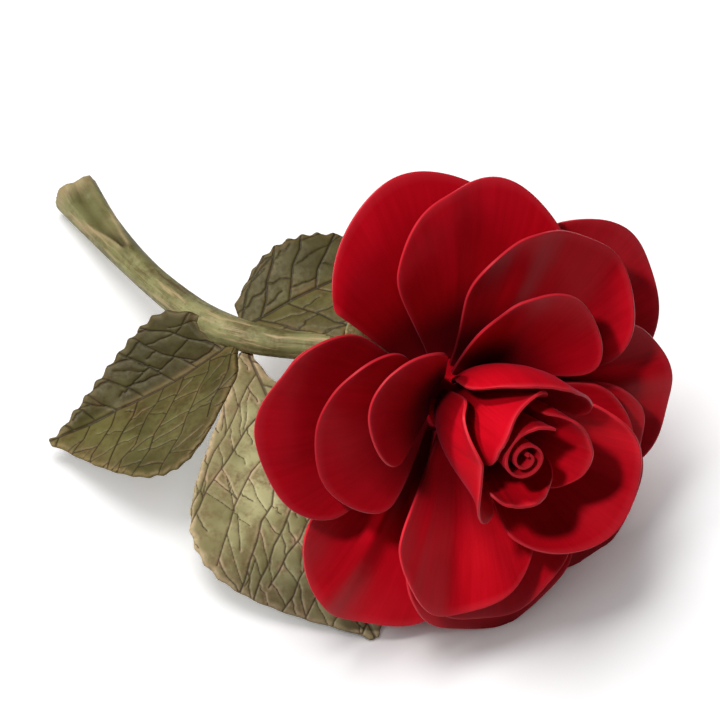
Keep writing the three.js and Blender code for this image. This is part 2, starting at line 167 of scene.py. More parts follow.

# Each leaf's base, length, heading, slope and fold, as in the source, then the seed of its veins, the grain
# of its mesh and the tone of its paint, partly its own tint and partly painted light, with the shares of it
# that its far half, as painted shade, and its tip have
LEAVES = {
    "leaf_left": {
        "base": (-31, -8.1, 22.4),
        "length": 52.9,
        "heading": 202.2,
        "slope": -18.2,
        "fold": 24,
        "seed": 3,
        "grain": 0.26,
        "tone": (0.48, 0.45, 0.32),
        "far": 0.62,
        "tip": 1.3,
    },
    "leaf_top": {
        "base": (-29, -3.1, 20),
        "length": 45.8,
        "heading": 25.4,
        "slope": 7.5,
        "fold": 12,
        "seed": 8,
        "grain": 0.26,
        "tone": (0.47, 0.43, 0.31),
        "far": 0.8,
        "tip": 1,
    },
    "leaf_front": {
        "base": (-28.5, -8.7, 19.4),
        "length": 81,
        "heading": -65.7,
        "slope": -13.6,
        "fold": 4,
        "seed": 12,
        "grain": 0.31,
        "tone": (1.5, 1.47, 1.66),
        "far": 1,
        "tip": 0.48,
    },
}

# Crease of a leaf's rim, levels and smoothing of its mesh, and width and smoothing of the brim, millimetres
LEAF_CREASE = 0.8
LEAF_LEVELS = 2
LEAF_SMOOTHING = 9
BRIM = 2
BRIM_SMOOTHING = 30
# Spacing of the points along a rim, and how far off a vein is still measured, millimetres
RIM_STEP = 0.4
VEIN_REACH = 4.0
# Runs of the relief: swelling beside a vein, at the edge, and the fold at the midrib, millimetres
SWELL_RUN = 1.2
SWELL_EDGE = 1.5
MIDRIB_RUN = 2.5
MIDRIB_EDGE = (1, 5)
# Size of the noise along the cut edge, and how far in it works, millimetres
RAGGED_SIZE = 2
RAGGED_RUN = 1.2
# Where the far half takes its own tone, as painted shade, millimetres aside, and where the tip does, share of
# the length
FAR_HALF = (-0.5, 2.5)
TIP = (0.5, 0.8)
# A blade near the stem's line is drawn to the stem over this range of gaps and stops short of it, in mm
STEM_NEAR = 9
JOIN_RUN = (0.5, 1.6)
JOIN_GAP = 0.03

# Side veins: lean in degrees, bend, number of knots, step and stray in spacings, and knots that they reach
VEIN_LEAN = (50, 59)
VEIN_BEND = (0.002, 0.006)
VEIN_KNOTS = 12
KNOT_STEP = 0.7
KNOT_STRAY = 0.09
KNOTS_REACHED = (6, 9, 12, 12, 12)
# Cross veins: shares of the way that they run, stray in spacings, and how often and how straight one forks
CROSS_SHARES = (0.45, 0.65, 1, 1, 1, 1)
CROSS_STRAY = 0.07
FORK_CHANCE = 0.2
FORK_STRAY = 0.05
# Widths of the cuts, as shares of the vein width
MIDRIB_WIDTH = 1.6
SIDE_WIDTHS = (0.7, 1.1)
CROSS_WIDTHS = (0.55, 0.9)
FORK_WIDTHS = (0.45, 0.75)

# Width of the floor in metres, its white as the camera sees it, and width of the camera's sensor in mm
FLOOR_WIDTH = 30
FLOOR_WHITE = 1.22
SENSOR = 36


def linear(text):
    """A colour written as sRGB hex, in linear light."""
    values = [int(text[k:k + 2], 16) / 255 for k in (1, 3, 5)]
    return [v / 12.92 if v <= 0.04045 else ((v + 0.055) / 1.055) ** 2.4 for v in values]


def colour_property(name, description, text):
    return FloatVectorProperty(
        name=name, description=description, default=linear(text), subtype="COLOR", min=0, max=1
    )


def length_property(name, description, metres):
    return FloatProperty(name=name, description=description, default=metres, unit="LENGTH")


def angle_property(name, description, degrees):
    return FloatProperty(name=name, description=description, default=math.radians(degrees), subtype="ANGLE")


def power_property(name, description, watts):
    return FloatProperty(name=name, description=description, default=watts, unit="POWER")


class RoseSizes(bpy.types.PropertyGroup):
    rim_crease: FloatProperty(
        name="Rim crease",
        description="How crisp the thin rims stay",
        default=0.5,
        min=0,
        max=1,
        subtype="FACTOR",
    )
    petal_levels: IntProperty(
        name="Petal levels", description="Subdivision of the petals and sepals", default=3, min=1, max=4
    )
    waver: length_property("Waver", "How far hand-shaped petals stray from true", 0.0007)
    waver_size: length_property("Waver size", "Distance between two bumps of a petal", 0.022)
    # Painted shade: how much darker the red is painted at a petal's foot
    painted_foot_shade: FloatProperty(
        name="Foot shade",
        description="How much the red deepens at a petal's foot",
        default=0.62,
        min=0,
        max=1,
    )
    creases: IntProperty(name="Creases", description="Faint creases in each petal", default=4, min=0)
    scroll_thin: length_property("Scroll thinning", "Taken off each face of the bud scroll", 0.00014)
    vein_depth: length_property("Vein depth", "Depth of a cut vein", 0.0003)
    vein_width: length_property("Vein width", "Half the width of a cut vein", 0.00022)
    vein_spacing: length_property("Vein spacing", "Distance between side veins", 0.0066)
    pillow: length_property("Pillow", "How far a leaf swells between its veins", 0.00012)
    midrib: length_property("Midrib", "Depth of the fold at a midrib", 0.0008)
    groove: length_property("Stem grooves", "Depth of the tool marks along the stem", 0.00028)
    scoop: length_property("Scoop", "Depth of the cut at the narrow end of the hollow", 0.0013)
    lip: length_property("Lip", "How far the lip of the cut end rises round the hollow", 0.0020)
    ragged: length_property("Ragged edge", "How far the cut edge of a leaf strays", 0.00015)


class RoseColours(bpy.types.PropertyGroup):
    petal: colour_property("Petal", "Red of the petals", "#cb0a1f")
    petal_deep: colour_property("Petal shade", "Where the red lies thicker", "#ad0513")
    # The paler red of the rims is partly a painted highlight
    petal_rim: colour_property("Petal rim", "Where the red runs thin on a rim", "#d23a46")
    sage: colour_property("Sage", "Light green of the leaves", "#918e62")
    olive: colour_property("Olive", "Deep green of the leaves and stem", "#5f5b35")
    tan: colour_property("Tan", "Dry-brushed edges and ridges", "#ae9873")
    wash: colour_property("Wash", "Brown wash over the green", "#574426")
    vein: colour_property("Vein", "Brown that stays in the cuts", "#35281a")
    steel: colour_property("Steel", "Neck pin", "#b4b7ba")
    floor: colour_property("Floor", "Pale floor", "#e8e8e8")


class RoseStage(bpy.types.PropertyGroup):
    frame_width: length_property("Frame width", "What the picture takes in", 0.18)
    lens: FloatProperty(name="Lens", description="Focal length in millimetres", default=1500, min=50)
    elevation: angle_property("Elevation", "Camera above the table", 60)
    key_power: power_property("Key power", "Watts of the light behind", 29)
    key_heading: angle_property("Key heading", "Side that the key comes from", 160)
    key_elevation: angle_property("Key elevation", "Height of the key", 55)
    side_power: power_property("Side power", "Watts of the side light", 24.3)
    side_heading: angle_property("Side heading", "Side of the second light", 215)
    side_elevation: angle_property("Side elevation", "Height of the side light", 68)
    light_size: length_property("Light size", "Width of each light", 0.2)
    floor_power: power_property("Floor power", "Watts of the soft key that falls on the floor", 25)
    floor_heading: angle_property("Floor heading", "Side of the soft key", 138)
    floor_elevation: angle_property("Floor elevation", "Height of the soft key", 72)
    floor_size: length_property("Floor light size", "Its width", 1.0)
    sky_power: power_property("Sky power", "Watts of the broad light over the floor", 25)
    sky_size: length_property("Sky size", "Its width", 3.5)
    light_distance: length_property("Light distance", "From the rose", 2)
    fill: FloatProperty(name="Fill", description="Even light from all round", default=0.045, min=0)


def add_node(tree, kind, inputs=None, **settings):
    """Adds a node with its settings, and sets or links its inputs."""
    made = tree.nodes.new(kind)
    for key, value in settings.items():
        setattr(made, key, value)
    for key, value in (inputs or {}).items():
        if isinstance(value, bpy.types.NodeSocket):
            tree.links.new(value, made.inputs[key])
        else:
            made.inputs[key].default_value = value
    return made


def new_material(name):
    """An empty material that replaces the one of the same name."""
    material = bpy.data.materials.get(name) or bpy.data.materials.new(name)
    material.use_nodes = True
    material.node_tree.nodes.clear()
    return material, material.node_tree


def rgba(colour):
    return (*colour, 1)


def only_select(obj):
    """Makes one object active and the only one selected."""
    bpy.ops.object.select_all(action="DESELECT")
    obj.select_set(True)
    bpy.context.view_layer.objects.active = obj


def apply_modifier(obj, kind, **settings):
    """Adds a modifier with its settings and applies it."""
    modifier = obj.modifiers.new(kind.lower(), kind)
    for key, value in settings.items():
        setattr(modifier, key, value)
    only_select(obj)
    bpy.ops.object.modifier_apply(modifier=modifier.name)


def copy_of(node_name, piece_name, crease):
    """A copy of a solid with its loose triangles merged to quads and its sharp rim creased."""
    source = frame["nodes"][node_name]
    piece = bpy.data.objects.new(piece_name, source.data.copy())
    piece.data.name = piece_name
    piece.data.materials.clear()
    bpy.context.scene.collection.objects.link(piece)
    only_select(piece)
    bpy.ops.object.mode_set(mode="EDIT")
    bpy.ops.mesh.select_mode(type="EDGE")
    bpy.ops.mesh.select_all(action="SELECT")
    bpy.ops.mesh.remove_doubles(threshold=MERGE * MM)
    bpy.ops.mesh.customdata_custom_splitnormals_clear()
    bpy.ops.mesh.tris_convert_to_quads(face_threshold=QUAD_ANGLE, shape_threshold=QUAD_SKEW)
    bpy.ops.mesh.select_all(action="DESELECT")
    bpy.ops.mesh.edges_select_sharp(sharpness=SHARP_ANGLE)
    bpy.ops.transform.edge_crease(value=crease)
    bpy.ops.object.vertex_group_assign_new()
    bpy.ops.object.mode_set(mode="OBJECT")
    piece.vertex_groups[0].name = "rim"
    return piece


def corners_of(mesh, values="co", width=3):
    """One array with a row for each vertex."""
    flat = np.zeros(len(mesh.vertices) * width)
    mesh.vertices.foreach_get(values, flat)
    return flat.reshape(-1, width)


def store(mesh, name, kind, values):
    """Keeps an array as an attribute of the vertices."""
    attribute = mesh.attributes.new(name, kind, "POINT")
    attribute.data.foreach_set(
        "vector" if kind == "FLOAT_VECTOR" else "value", np.asarray(values, float).ravel()
    )


def group_weights(piece, group):
    """The weight of each vertex in a vertex group."""
    index = piece.vertex_groups[group].index
    weights = np.zeros(len(piece.data.vertices))
    for vertex in piece.data.vertices:
        for member in vertex.groups:
            if member.group == index:
                weights[vertex.index] = member.weight
    return weights


def eased(values, low, high):
    """0 at low and 1 at high, with a smooth run between."""
    share = np.clip((values - low) / (high - low), 0, 1)
    return share * share * (3 - 2 * share)


def above_table(points):
    """The points, with none under the table."""
    points[:, 2] = np.maximum(points[:, 2], 0)
    return points


def seat(piece, node_name, material):
    """The finished piece stands for its solid."""
    piece.data.materials.clear()
    piece.data.materials.append(material)
    only_select(piece)
    bpy.ops.object.shade_smooth()
    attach(piece, "root")
    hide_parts(node_name)


def satin_red_porcelain(colours):
    """Unglazed porcelain, painted red with a soft brush and left satin.

    The eye sees broad soft highlights, faint brush marks from foot to rim and a paler line on each rim,
    where the red runs thin and which is partly a painted highlight. The red is painted darker at each petal's
    foot, as painted shade, and darker or lighter on single petals, as painted light and shade.
    """
    material, tree = new_material("satin_red_porcelain")
    petal = add_node(tree, "ShaderNodeAttribute", attribute_name="petal")
    rim = add_node(tree, "ShaderNodeAttribute", attribute_name="rim")
    place = add_node(tree, "ShaderNodeTexCoord")
    # Brush marks 0.8 mm apart and 25 mm long
    strokes = add_node(
        tree, "ShaderNodeMapping", {"Vector": petal.outputs["Vector"], "Scale": (1.2, 0.04, 1)}
    )
    brush = add_node(
        tree, "ShaderNodeTexNoise", {"Vector": strokes.outputs[0], "Scale": 1, "Detail": 3, "Roughness": 0.6}
    )
    # Clouds of thicker red about 18 mm wide
    cloud = add_node(
        tree,
        "ShaderNodeTexNoise",
        {"Vector": place.outputs["Object"], "Scale": 55, "Detail": 2, "Roughness": 0.5},
    )
    mixed = add_node(tree, "ShaderNodeMath", {0: brush.outputs[0], 1: 0.5, 2: 0.02}, operation="MULTIPLY_ADD")
    share = add_node(
        tree, "ShaderNodeMath", {0: cloud.outputs[0], 1: 0.5, 2: mixed.outputs[0]}, operation="MULTIPLY_ADD"
    )
    thick = add_node(
        tree,
        "ShaderNodeMapRange",
        {"Value": share.outputs[0], "From Min": 0.32, "From Max": 0.72},
    )
    red = add_node(
        tree,
        "ShaderNodeMix",
        {0: thick.outputs[0], 6: rgba(colours.petal_deep), 7: rgba(colours.petal)},
        data_type="RGBA",
    )
    # A paler line on each rim, where the red runs thin, partly a painted highlight
    thin = add_node(
        tree,
        "ShaderNodeMapRange",
        {"Value": rim.outputs["Fac"], "From Min": 0.6, "From Max": 1, "To Max": 0.35},
    )
    painted = add_node(
        tree,
        "ShaderNodeMix",
        {0: thin.outputs[0], 6: red.outputs[2], 7: rgba(colours.petal_rim)},
        data_type="RGBA",
    )
    # Painted shade: the red is darker at each petal's foot, and darker or lighter on single petals, as
    # painted light and shade
    pooled_brown_and_painted_shade = add_node(tree, "ShaderNodeAttribute", attribute_name="thick")
    lightness = add_node(tree, "ShaderNodeMath", {0: 1, 1: pooled_brown_and_painted_shade.outputs["Fac"]}, operation="SUBTRACT")
    painted_shade_red = add_node(
        tree,
        "ShaderNodeMix",
        {0: 1, 6: painted.outputs[2], 7: lightness.outputs[0]},
        data_type="RGBA",
        blend_type="MULTIPLY",
    )
    gloss = add_node(
        tree,
        "ShaderNodeMapRange",
        {"Value": brush.outputs[0], "From Min": 0.3, "From Max": 0.7, "To Min": 0.38, "To Max": 0.48},
    )
    bump = add_node(
        tree, "ShaderNodeBump", {"Height": brush.outputs[0], "Strength": 0.08, "Distance": 0.2 * MM}
    )
    shader = add_node(
        tree,
        "ShaderNodeBsdfPrincipled",
        {
            "Base Color": painted_shade_red.outputs[2],
            "Roughness": gloss.outputs[0],
            "IOR": 1.5,
            "Specular IOR Level": 0.22,
            "Specular Tint": (1, 0.35, 0.38, 1),
            "Sheen Weight": 0.05,
            "Sheen Roughness": 0.35,
            "Sheen Tint": (0.75, 0.3, 0.5, 1),
            "Normal": bump.outputs[0],
        },
    )
    add_node(tree, "ShaderNodeOutputMaterial", {"Surface": shader.outputs[0]})
    return material


def painted_green_porcelain(colours, name, veined):
    """Porcelain with green and brown underglaze, wiped so that brown stays in the cuts, and thin clear glaze.

    The eye sees sage over olive, dark cuts with rubbed tan sides, and tan on every edge, under a soft gloss.
    """
    material, tree = new_material(name)
    place = add_node(tree, "ShaderNodeTexCoord")
    # Clouds of green about 16 mm wide
    cloud = add_node(
        tree,
        "ShaderNodeTexNoise",
        {"Vector": place.outputs["Object"], "Scale": 60, "Detail": 3, "Roughness": 0.55},
    )
    green_share = add_node(
        tree,
        "ShaderNodeMapRange",
        {"Value": cloud.outputs[0], "From Min": 0.35, "From Max": 0.62},
    )
    green = add_node(
        tree,
        "ShaderNodeMix",
        {0: green_share.outputs[0], 6: rgba(colours.olive), 7: rgba(colours.sage)},
        data_type="RGBA",
    )
    # Brown wash in patches about 5 mm wide
    patch = add_node(
        tree,
        "ShaderNodeTexNoise",
        {"Vector": place.outputs["Object"], "Scale": 190, "Detail": 4, "Roughness": 0.6},
    )
    # Speckle of the dry brush about 1 mm wide
    speckle = add_node(
        tree,
        "ShaderNodeTexNoise",
        {"Vector": place.outputs["Object"], "Scale": 900, "Detail": 2, "Roughness": 0.6},
    )
    mottle = add_node(
        tree,
        "ShaderNodeMath",
        {0: speckle.outputs[0], 1: 0.45, 2: patch.outputs[0]},
        operation="MULTIPLY_ADD",
    )
    wash_share = add_node(
        tree,
        "ShaderNodeMapRange",
        {"Value": mottle.outputs[0], "From Min": 0.66, "From Max": 0.94, "To Max": 0.75},
    )
    washed = add_node(
        tree,
        "ShaderNodeMix",
        {0: wash_share.outputs[0], 6: green.outputs[2], 7: rgba(colours.wash)},
        data_type="RGBA",
    )
    coat = washed.outputs[2]
    if veined:
        vein = add_node(tree, "ShaderNodeAttribute", attribute_name="vein")
        edge = add_node(tree, "ShaderNodeAttribute", attribute_name="edge")
        # Tan rubbed on the sides of each cut, 0.3 to 1.2 mm from its middle
        near = add_node(
            tree,
            "ShaderNodeMapRange",
            {"Value": vein.outputs["Fac"], "From Min": 1.3, "From Max": 0.35},
            interpolation_type="SMOOTHSTEP",
        )
        rubbed = add_node(
            tree,
            "ShaderNodeMapRange",
            {"Value": patch.outputs[0], "From Min": 0.5, "From Max": 0.66, "To Max": 0.6},
        )
        bank = add_node(
            tree, "ShaderNodeMath", {0: near.outputs[0], 1: rubbed.outputs[0]}, operation="MULTIPLY"
        )
        banked = add_node(
            tree, "ShaderNodeMix", {0: bank.outputs[0], 6: coat, 7: rgba(colours.tan)}, data_type="RGBA"
        )
        # Brown wash that deepens over the outer 8 mm of the blade
        margin = add_node(
            tree,
            "ShaderNodeMapRange",
            {"Value": edge.outputs["Fac"], "From Min": 9, "From Max": 0.5},
        )
        uneven = add_node(
            tree,
            "ShaderNodeMapRange",
            {"Value": cloud.outputs[0], "From Min": 0.35, "From Max": 0.65, "To Min": 0.1, "To Max": 0.7},
        )
        browning = add_node(
            tree, "ShaderNodeMath", {0: margin.outputs[0], 1: uneven.outputs[0]}, operation="MULTIPLY"
        )
        browned = add_node(
            tree,
            "ShaderNodeMix",
            {0: browning.outputs[0], 6: banked.outputs[2], 7: rgba(colours.wash)},
            data_type="RGBA",
        )
        # Tan on the outer 1.5 mm of the blade
        outer = add_node(
            tree,
            "ShaderNodeMapRange",
            {"Value": edge.outputs["Fac"], "From Min": 1.8, "From Max": 0.3, "To Max": 0.6},
            interpolation_type="SMOOTHSTEP",
        )
        worn = add_node(
            tree,
            "ShaderNodeMapRange",
            {"Value": speckle.outputs[0], "From Min": 0.3, "From Max": 0.6, "To Min": 0.2},
        )
        brushed = add_node(
            tree, "ShaderNodeMath", {0: outer.outputs[0], 1: worn.outputs[0]}, operation="MULTIPLY"
        )
        edged = add_node(
            tree,
            "ShaderNodeMix",
            {0: brushed.outputs[0], 6: browned.outputs[2], 7: rgba(colours.tan)},
            data_type="RGBA",
        )
        # Brown in the cut, 0.4 mm wide
        cut = add_node(
            tree,
            "ShaderNodeMapRange",
            {"Value": vein.outputs["Fac"], "From Min": 0.34, "From Max": 0.1, "To Max": 0.85},
            interpolation_type="SMOOTHSTEP",
        )
        inked = add_node(
            tree,
            "ShaderNodeMix",
            {0: cut.outputs[0], 6: edged.outputs[2], 7: rgba(colours.vein)},
            data_type="RGBA",
        )
        # Each leaf's tone, partly its own tint and partly painted light, with its far half painted darker as
        # painted shade, and its tip lighter on the left leaf and darker on the front one
        tone = add_node(tree, "ShaderNodeAttribute", attribute_name="tone")
        toned = add_node(
            tree,
            "ShaderNodeMix",
            {0: 1, 6: inked.outputs[2], 7: tone.outputs["Color"]},
            data_type="RGBA",
            blend_type="MULTIPLY",
        )
        coat = toned.outputs[2]
    else:
        line = add_node(tree, "ShaderNodeAttribute", attribute_name="line")
        # Brush marks along the stem, 1.2 mm apart and 16 mm long
        strokes = add_node(
            tree, "ShaderNodeMapping", {"Vector": line.outputs["Vector"], "Scale": (0.06, 0.8, 0.8)}
        )
        brush = add_node(
            tree,
            "ShaderNodeTexNoise",
            {"Vector": strokes.outputs[0], "Scale": 1, "Detail": 4, "Roughness": 0.65},
        )
        tan_share = add_node(
            tree,
            "ShaderNodeMapRange",
            {"Value": brush.outputs[0], "From Min": 0.53, "From Max": 0.66, "To Max": 0.95},
        )
        streaked = add_node(
            tree, "ShaderNodeMix", {0: tan_share.outputs[0], 6: coat, 7: rgba(colours.tan)}, data_type="RGBA"
        )
        dark_share = add_node(
            tree,
            "ShaderNodeMapRange",
            {"Value": brush.outputs[0], "From Min": 0.45, "From Max": 0.33, "To Max": 0.85},
        )
        lined = add_node(
            tree,
            "ShaderNodeMix",
            {0: dark_share.outputs[0], 6: streaked.outputs[2], 7: rgba(colours.wash)},
            data_type="RGBA",
        )
        # Tan on the ridge round the hollow, deep olive in it and brown at its narrow end
        ridge = add_node(tree, "ShaderNodeAttribute", attribute_name="ridge")
        rubbed = add_node(
            tree,
            "ShaderNodeMix",
            {0: ridge.outputs["Fac"], 6: lined.outputs[2], 7: rgba(colours.tan)},
            data_type="RGBA",
        )
        hollow = add_node(tree, "ShaderNodeAttribute", attribute_name="hollow")
        filled = add_node(
            tree,
            "ShaderNodeMix",
            {0: hollow.outputs["Fac"], 6: rubbed.outputs[2], 7: rgba(colours.olive)},
            data_type="RGBA",
        )
        pool = add_node(tree, "ShaderNodeAttribute", attribute_name="pool")
        pooled_brown_and_painted_shade = add_node(
            tree,
            "ShaderNodeMix",
            {0: pool.outputs["Fac"], 6: filled.outputs[2], 7: rgba(colours.vein)},
            data_type="RGBA",
        )
        glaze = add_node(
            tree,
            "ShaderNodeMix",
            {0: 1, 6: pooled_brown_and_painted_shade.outputs[2], 7: (0.9, 0.91, 0.88, 1)},
            data_type="RGBA",
            blend_type="MULTIPLY",
        )
        coat = glaze.outputs[2]
    gloss = add_node(
        tree,
        "ShaderNodeMapRange",
        {"Value": speckle.outputs[0], "From Min": 0.3, "From Max": 0.7, "To Min": 0.46, "To Max": 0.62},
    )
    bump = add_node(
        tree, "ShaderNodeBump", {"Height": speckle.outputs[0], "Strength": 0.2, "Distance": 0.2 * MM}
    )
    shader = add_node(
        tree,
        "ShaderNodeBsdfPrincipled",
        {
            "Base Color": coat,
            "Roughness": gloss.outputs[0],
            "IOR": 1.5,
            "Specular IOR Level": 0.28,
            "Specular Tint": (1, 0.93, 0.72, 1),
            "Normal": bump.outputs[0],
        },
    )
    add_node(tree, "ShaderNodeOutputMaterial", {"Surface": shader.outputs[0]})
    return material


def brushed_steel(colours):
    """Drawn steel rod, rubbed with fine grit. The eye sees a fine grain in a soft metal shine."""
    material, tree = new_material("brushed_steel")
    place = add_node(tree, "ShaderNodeTexCoord")
    grit = add_node(
        tree,
        "ShaderNodeTexNoise",
        {"Vector": place.outputs["Object"], "Scale": 2500, "Detail": 2, "Roughness": 0.5},
    )
    gloss = add_node(
        tree,
        "ShaderNodeMapRange",
        {"Value": grit.outputs[0], "From Min": 0.3, "From Max": 0.7, "To Min": 0.28, "To Max": 0.45},
    )
    shader = add_node(
        tree,
        "ShaderNodeBsdfPrincipled",
        {"Base Color": rgba(colours.steel), "Metallic": 1, "Roughness": gloss.outputs[0]},
    )
    add_node(tree, "ShaderNodeOutputMaterial", {"Surface": shader.outputs[0]})
    return material


def pale_floor(colours):
    """Matt white paper. It shows as white in the picture and still takes the rose's shadow."""
    material, tree = new_material("pale_floor")
    path = add_node(tree, "ShaderNodeLightPath")
    seen = add_node(
        tree,
        "ShaderNodeMath",
        {0: path.outputs["Is Camera Ray"], 1: path.outputs["Is Glossy Ray"]},
        operation="MAXIMUM",
    )
    shown = add_node(
        tree,
        "ShaderNodeMath",
        {0: seen.outputs[0], 1: path.outputs["Is Transmission Ray"]},
        operation="MAXIMUM",
    )
    colour = add_node(
        tree,
        "ShaderNodeMix",
        {0: shown.outputs[0], 6: rgba(colours.floor), 7: (FLOOR_WHITE, FLOOR_WHITE, FLOOR_WHITE, 1)},
        data_type="RGBA",
        clamp_result=False,
    )
    shader = add_node(tree, "ShaderNodeBsdfDiffuse", {"Color": colour.outputs[2]})
    add_node(tree, "ShaderNodeOutputMaterial", {"Surface": shader.outputs[0]})
    return material


def waver_field(points, size):
    """A smooth shift for each point, the same for all pieces, so that neighbours move together."""
    noise.seed_set(WAVER_SEED)
    return np.array([noise.noise_vector(Vector(p) / size) for p in points])


def bloom_places(points):
    """Points in the bloom's own frame, millimetres."""
    turn = np.array(BLOOM_TURN)
    return (points / MM - np.array(BLOOM_BASE)) @ turn


def shaped_petal(name, sizes, material, seed):
    """One petal: the solid's sheet made smooth, strayed a little by hand, with its brush directions."""
    piece = copy_of(name, f"{name}_satin", sizes.rim_crease)
    apply_modifier(piece, "SUBSURF", levels=sizes.petal_levels, render_levels=sizes.petal_levels)
    mesh = piece.data
    points = corners_of(mesh)
    local = bloom_places(points)
    middle = local.mean(0)
    angle = np.arctan2(local[:, 1], local[:, 0]) - math.atan2(middle[1], middle[0])
    angle = (angle + math.pi) % (2 * math.pi) - math.pi
    along = np.hypot(np.hypot(local[:, 0], local[:, 1]), local[:, 2])
    store(
        mesh,
        "petal",
        "FLOAT_VECTOR",
        np.stack([angle * PETAL_RADIUS, along, np.full(len(points), BRUSH_SHIFT * seed)], 1),
    )
    rim = group_weights(piece, "rim")
    piece.vertex_groups.clear()
    store(mesh, "rim", "FLOAT", rim)
    # Painted shade at the foot, and painted light and shade on single petals
    foot = 1 - eased(along, *FOOT_SHADE_RUN)
    store(mesh, "thick", "FLOAT", 1 - (1 - PAINTED_LIGHT_AND_SHADE_BY_PETAL.get(name, 0)) * (1 - sizes.painted_foot_shade * foot))
    # Only the free part of the petal strays, not its foot on the core
    free = np.clip((along - HELD) / HELD_FADE, 0, 1)[:, None]
    points += sizes.waver * free * waver_field(points, sizes.waver_size)
    facing = np.linalg.svd(local - middle, full_matrices=False)[2][2] @ np.array(BLOOM_TURN).T
    facing *= np.sign(facing @ np.array(BLOOM_TURN)[:, 2])
    chance = random.Random(seed)
    folds = list(FOLDS.get(name, []))
    for _ in range(sizes.creases):
        aside = chance.uniform(-CREASE_ASIDE, CREASE_ASIDE)
        depth = chance.uniform(-CREASE_DEPTH, CREASE_DEPTH)
        folds.append((aside, depth, chance.uniform(*CREASE_HALF_WIDTH)))
    for aside, depth, half_width in folds:
        ridge = depth * np.exp(-(((angle * PETAL_RADIUS) - aside) / half_width) ** 2)
        points += MM * ridge[:, None] * free * facing
    mesh.vertices.foreach_set("co", above_table(points).ravel())
    mesh.update()
    seat(piece, name, material)
    return piece


class ROSE_OT_petals(bpy.types.Operator):
    """Makes the petals of the six rings"""

    bl_idname = "rose.petals"
    bl_label = "Petals"

    def execute(self, context):
        sizes = context.scene.rose_sizes
        material = satin_red_porcelain(context.scene.rose_colours)
        for seed, name in enumerate(PETALS):
            shaped_petal(name, sizes, material, seed)
        return {"FINISHED"}


class ROSE_OT_bud_scroll(bpy.types.Operator):
    """Makes the rolled strip in the middle of the bud, and paints the core that it stands on"""

    bl_idname = "rose.bud_scroll"
    bl_label = "Bud scroll and core"

    def execute(self, context):
        sizes = context.scene.rose_sizes
        material = satin_red_porcelain(context.scene.rose_colours)
        scroll = shaped_petal("bud_scroll", sizes, material, SCROLL_SEED)
        # The strip is rolled thinner than the petals
        thinned = corners_of(scroll.data) - sizes.scroll_thin * corners_of(scroll.data, "normal")
        scroll.data.vertices.foreach_set("co", thinned.ravel())
        scroll.data.update()
        core = frame["nodes"]["petal_core"]
        core.data.materials.clear()
        core.data.materials.append(material)
        pin = frame["nodes"]["neck_pin"]
        pin.data.materials.clear()
        pin.data.materials.append(brushed_steel(context.scene.rose_colours))
        return {"FINISHED"}


def stem_line_places(points):
    """For each point, how far along the stem's line it lies and its offset from it, millimetres."""
    line = np.array(STEM_LINE) + np.array(SHIFT)
    best = np.full(len(points), 1e9)
    along = np.zeros(len(points))
    offset = np.zeros((len(points), 3))
    done = 0
    for a, b in zip(line[:-1], line[1:]):
        step = b - a
        length = np.linalg.norm(step)
        share = np.clip((points - a) @ step / length**2, 0, 1)
        away = points - (a + share[:, None] * step)
        distance = np.linalg.norm(away, axis=1)
        nearer = distance < best
        best[nearer] = distance[nearer]
        along[nearer] = done + share[nearer] * length
        offset[nearer] = away[nearer]
        done += length
    return along, offset


class ROSE_OT_calyx(bpy.types.Operator):
    """Makes the calyx cup and the five sepals under the bloom"""

    bl_idname = "rose.calyx"
    bl_label = "Calyx and sepals"

    def execute(self, context):
        sizes = context.scene.rose_sizes
        material = painted_green_porcelain(context.scene.rose_colours, "painted_green_stem", False)
        for name in ["calyx_cup", *SEPALS]:
            piece = copy_of(name, f"{name}_glazed", sizes.rim_crease)
            apply_modifier(piece, "SUBSURF", levels=sizes.petal_levels, render_levels=sizes.petal_levels)
            points = corners_of(piece.data)
            store(piece.data, "line", "FLOAT_VECTOR", bloom_places(points)[:, [2, 0, 1]])
            piece.vertex_groups.clear()
            seat(piece, name, material)
        return {"FINISHED"}


